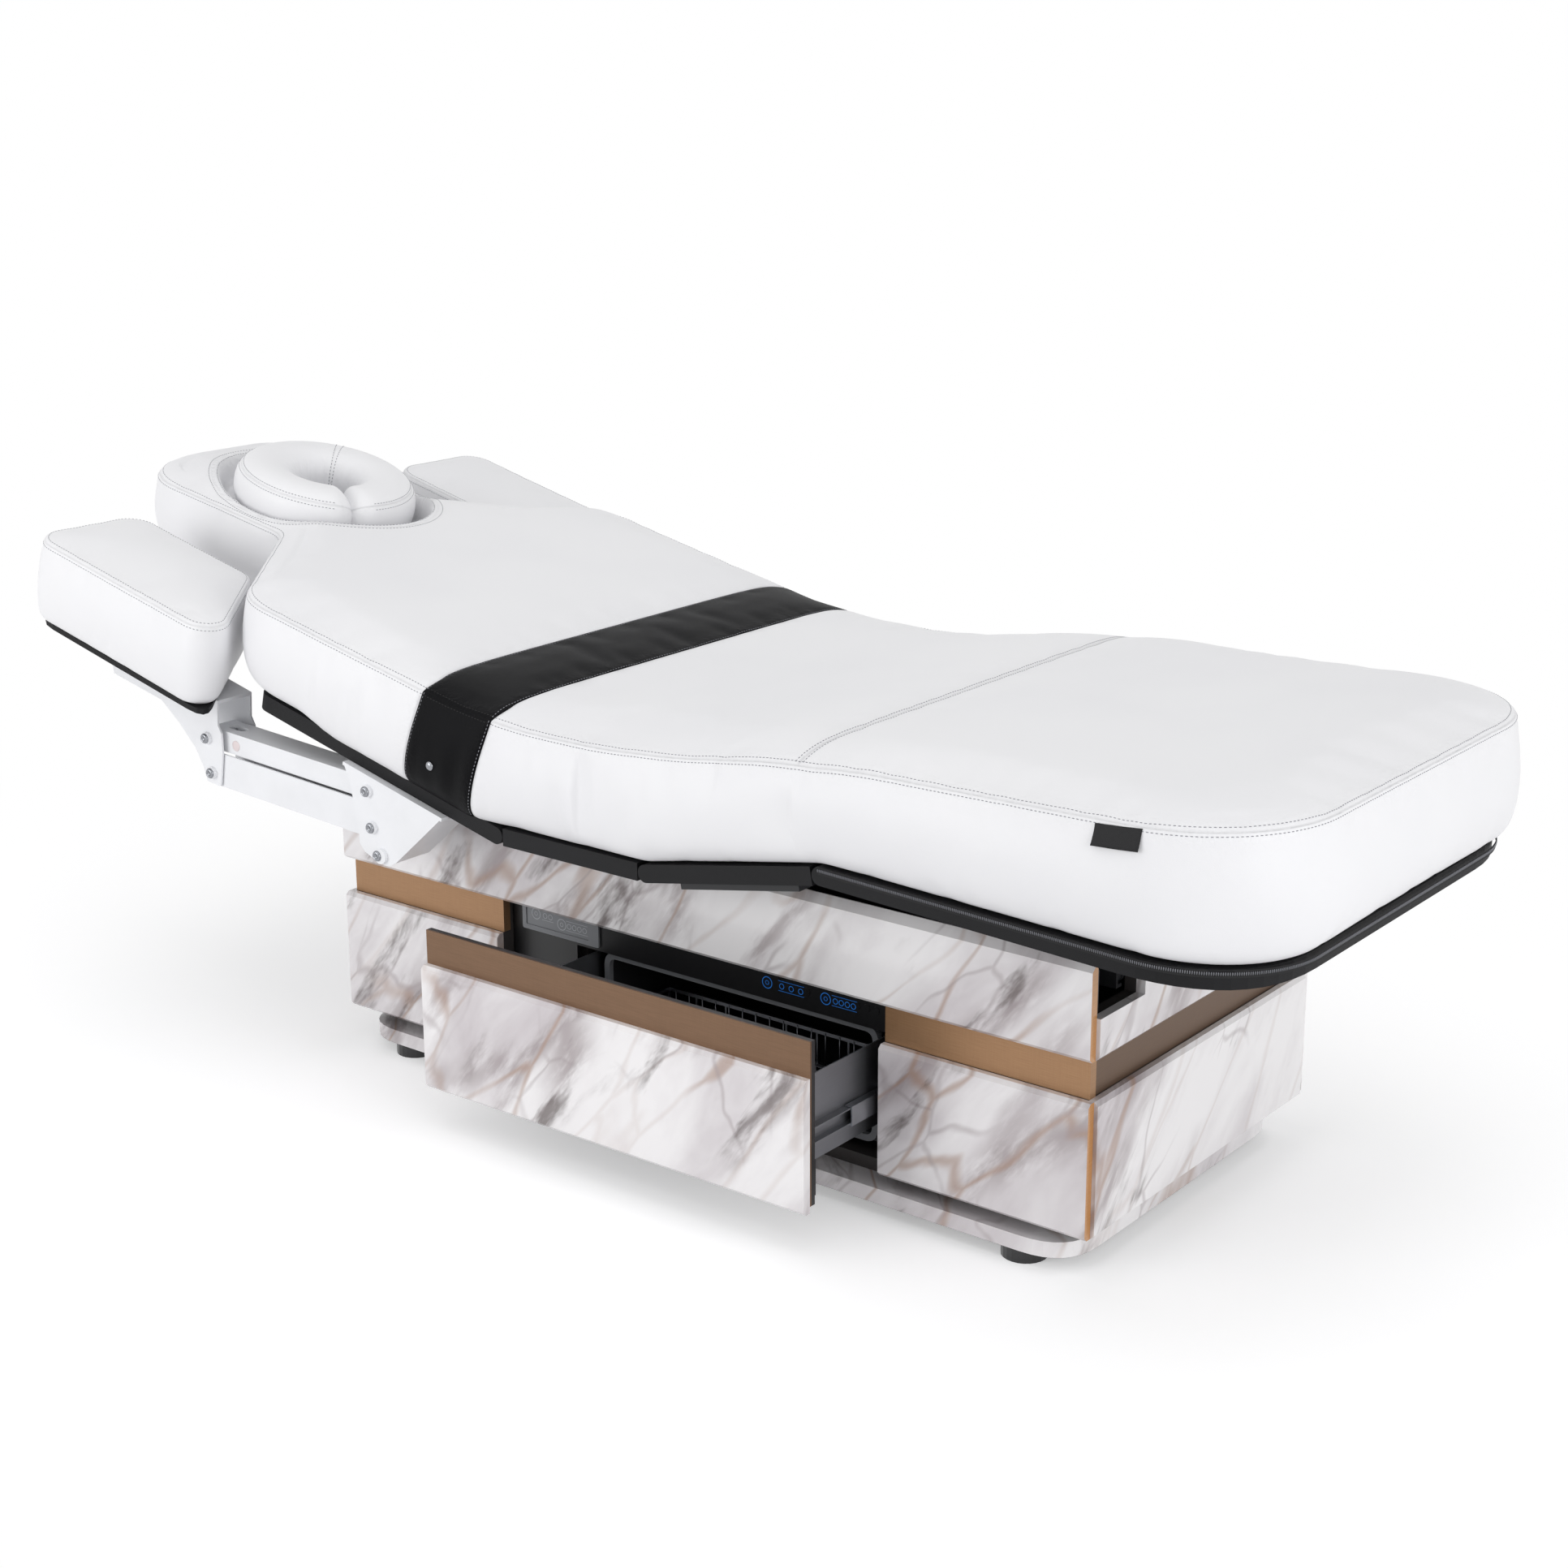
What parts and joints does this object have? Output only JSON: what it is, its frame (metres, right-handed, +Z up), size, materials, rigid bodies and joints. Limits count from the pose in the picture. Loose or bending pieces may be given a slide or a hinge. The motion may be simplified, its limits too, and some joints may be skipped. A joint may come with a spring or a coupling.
{
  "type": "treatment table",
  "caption": "Electric treatment table with a sectioned white mattress, swinging armrests, scissor lift and marble-look cabinet with an open drawer.",
  "frame": {"origin": "centre of the plan bounds on the floor under the feet", "axes": "+X from the head end to the foot end, +Y away from the drawer side, +Z up"},
  "size_m": [2.136, 0.924, 0.8213],
  "materials": {
    "marble_laminate": "glossy white laminate with grey and tan diagonal marble veins",
    "bronze_panel": "brushed bronze metallic laminate",
    "white_leather": "smooth white artificial leather",
    "black_leather": "smooth black artificial leather",
    "black_vinyl": "soft black vinyl cover over the padded boards",
    "white_powder_coat": "satin white powder coat on steel plate",
    "dark_steel": "satin black powder coat on steel",
    "carcass_board": "dark melamine faced chipboard",
    "plinth_board": "white marble laminate on a board, with black plastic feet",
    "black_board": "matte black panel",
    "grey_rubber": "matte grey rubber",
    "grey_plastic": "satin grey plastic overlay",
    "slide_steel": "zinc plated steel",
    "chrome_wire": "bright chrome wire"
  },
  "bodies": {
    "cabinet": {"plinth_with_feet": "plinth_board", "carcass": "carcass_board", "front_lower_left_panel": "marble_laminate", "front_lower_right_panel": "marble_laminate", "front_upper_panel": "marble_laminate", "foot_end_lower_panel": "marble_laminate", "foot_end_upper_panel": "marble_laminate", "head_end_lower_panel": "marble_laminate", "head_end_upper_panel": "marble_laminate", "back_lower_panel": "marble_laminate", "back_upper_panel": "marble_laminate", "front_band_left": "bronze_panel", "front_band_right": "bronze_panel", "rear_band": "bronze_panel", "cavity_gasket": "grey_rubber", "cavity_liner": "black_board", "control_fascia": "black_board", "control_module": "grey_plastic", "slide_outer_left": "slide_steel", "slide_outer_right": "slide_steel", "lift_base_frame": "dark_steel"},
    "left_slide_middle": {"slide_middle_left": "slide_steel"},
    "right_slide_middle": {"slide_middle_right": "slide_steel"},
    "drawer": {"drawer_front": "marble_laminate", "drawer_band": "bronze_panel", "drawer_backing": "black_board", "drawer_inner_panel": "black_board", "drawer_side_left": "slide_steel", "drawer_side_right": "slide_steel", "drawer_basket": "chrome_wire"},
    "lift_outer_arms": {"scissor_outer_frame": "dark_steel"},
    "lift_inner_arms": {"scissor_inner_frame": "dark_steel"},
    "seat": {"scissor_platform": "dark_steel", "seat_board": "black_vinyl", "mattress_seat": "white_leather"},
    "back": {"back_board": "black_vinyl", "back_tray": "dark_steel", "mattress_back": "white_leather", "mattress_band": "black_leather", "face_pillow": "white_leather", "armrest_left_table_bracket": "white_powder_coat", "armrest_right_table_bracket": "white_powder_coat"},
    "thigh": {"thigh_board": "black_vinyl", "thigh_tray": "dark_steel", "mattress_thigh": "white_leather"},
    "leg": {"leg_board": "black_vinyl", "leg_tray": "dark_steel", "mattress_leg": "white_leather"},
    "left_lower_arm": {"armrest_left_lower_arm": "white_powder_coat"},
    "left_upper_arm": {"armrest_left_upper_arm": "white_powder_coat"},
    "left_arm_pad": {"armrest_left_pad_bracket": "white_powder_coat", "armrest_left_pad_board": "black_board", "armrest_left_pad": "white_leather"},
    "right_lower_arm": {"armrest_right_lower_arm": "white_powder_coat"},
    "right_upper_arm": {"armrest_right_upper_arm": "white_powder_coat"},
    "right_arm_pad": {"armrest_right_pad_bracket": "white_powder_coat", "armrest_right_pad_board": "black_board", "armrest_right_pad": "white_leather"}
  },
  "joints": [
    {"name": "drawer_slide", "type": "slide", "parent": "cabinet", "child": "drawer", "axis": [0, -1, 0], "range_m": [-0.15, 0.1]},
    {"name": "left_slide_travel", "type": "slide", "parent": "cabinet", "child": "left_slide_middle", "axis": [0, -1, 0], "range_m": [-0.075, 0.05]},
    {"name": "right_slide_travel", "type": "slide", "parent": "cabinet", "child": "right_slide_middle", "axis": [0, -1, 0], "range_m": [-0.075, 0.05]},
    {"name": "lift_outer_pivot", "type": "hinge", "parent": "cabinet", "child": "lift_outer_arms", "pos_m": [-0.44211, 0, 0.276], "axis": [0, -1, 0], "range_deg": [0, 16.7]},
    {"name": "lift_centre_pivot", "type": "hinge", "parent": "lift_outer_arms", "child": "lift_inner_arms", "pos_m": [0.15394, 0, 0.3175], "axis": [0, -1, 0], "range_deg": [-33.4, 0]},
    {"name": "lift_top_pivot", "type": "hinge", "parent": "lift_inner_arms", "child": "seat", "pos_m": [-0.44211, 0, 0.359], "axis": [0, -1, 0], "range_deg": [0, 16.7]},
    {"name": "back_hinge", "type": "hinge", "parent": "seat", "child": "back", "pos_m": [-0.075, 0, 0.427], "axis": [0, 1, 0], "range_deg": [-8.5, 50], "deforming": ["mattress_band", "mattress_seat"]},
    {"name": "thigh_hinge", "type": "hinge", "parent": "seat", "child": "thigh", "pos_m": [0.186, 0, 0.427], "axis": [0, -1, 0], "range_deg": [-5.5, 19], "deforming": ["mattress_thigh"]},
    {"name": "knee_hinge", "type": "hinge", "parent": "thigh", "child": "leg", "pos_m": [0.46282, 0, 0.48081], "axis": [0, -1, 0], "range_deg": [-22.8, 6.6]},
    {"name": "left_armrest_lower_pivot", "type": "hinge", "parent": "back", "child": "left_lower_arm", "pos_m": [-0.29899, -0.361, 0.39799], "axis": [0, 1, 0], "range_deg": [-4, 12]},
    {"name": "left_armrest_upper_pivot", "type": "hinge", "parent": "back", "child": "left_upper_arm", "pos_m": [-0.30601, -0.361, 0.44904], "axis": [0, 1, 0], "range_deg": [-4, 12]},
    {"name": "left_armrest_pad_pivot", "type": "hinge", "parent": "left_lower_arm", "child": "left_arm_pad", "pos_m": [-0.63093, -0.361, 0.41713], "axis": [0, 1, 0], "range_deg": [-12, 4]},
    {"name": "right_armrest_lower_pivot", "type": "hinge", "parent": "back", "child": "right_lower_arm", "pos_m": [-0.29899, 0.361, 0.39799], "axis": [0, 1, 0], "range_deg": [-4, 12]},
    {"name": "right_armrest_upper_pivot", "type": "hinge", "parent": "back", "child": "right_upper_arm", "pos_m": [-0.30601, 0.361, 0.44904], "axis": [0, 1, 0], "range_deg": [-4, 12]},
    {"name": "right_armrest_pad_pivot", "type": "hinge", "parent": "right_lower_arm", "child": "right_arm_pad", "pos_m": [-0.63093, 0.361, 0.41713], "axis": [0, 1, 0], "range_deg": [-12, 4]}
  ],
  "couplings": [
    {"joint": "left_slide_travel", "follows": "drawer_slide", "ratio": 0.5},
    {"joint": "right_slide_travel", "follows": "drawer_slide", "ratio": 0.5},
    {"joint": "lift_centre_pivot", "follows": "lift_outer_pivot", "ratio": -2},
    {"joint": "lift_top_pivot", "follows": "lift_outer_pivot", "ratio": 1},
    {"joint": "knee_hinge", "follows": "thigh_hinge", "ratio": -1.2},
    {"joint": "left_armrest_upper_pivot", "follows": "left_armrest_lower_pivot", "ratio": 1},
    {"joint": "left_armrest_pad_pivot", "follows": "left_armrest_lower_pivot", "ratio": -1},
    {"joint": "right_armrest_upper_pivot", "follows": "right_armrest_lower_pivot", "ratio": 1},
    {"joint": "right_armrest_pad_pivot", "follows": "right_armrest_lower_pivot", "ratio": -1}
  ]
}
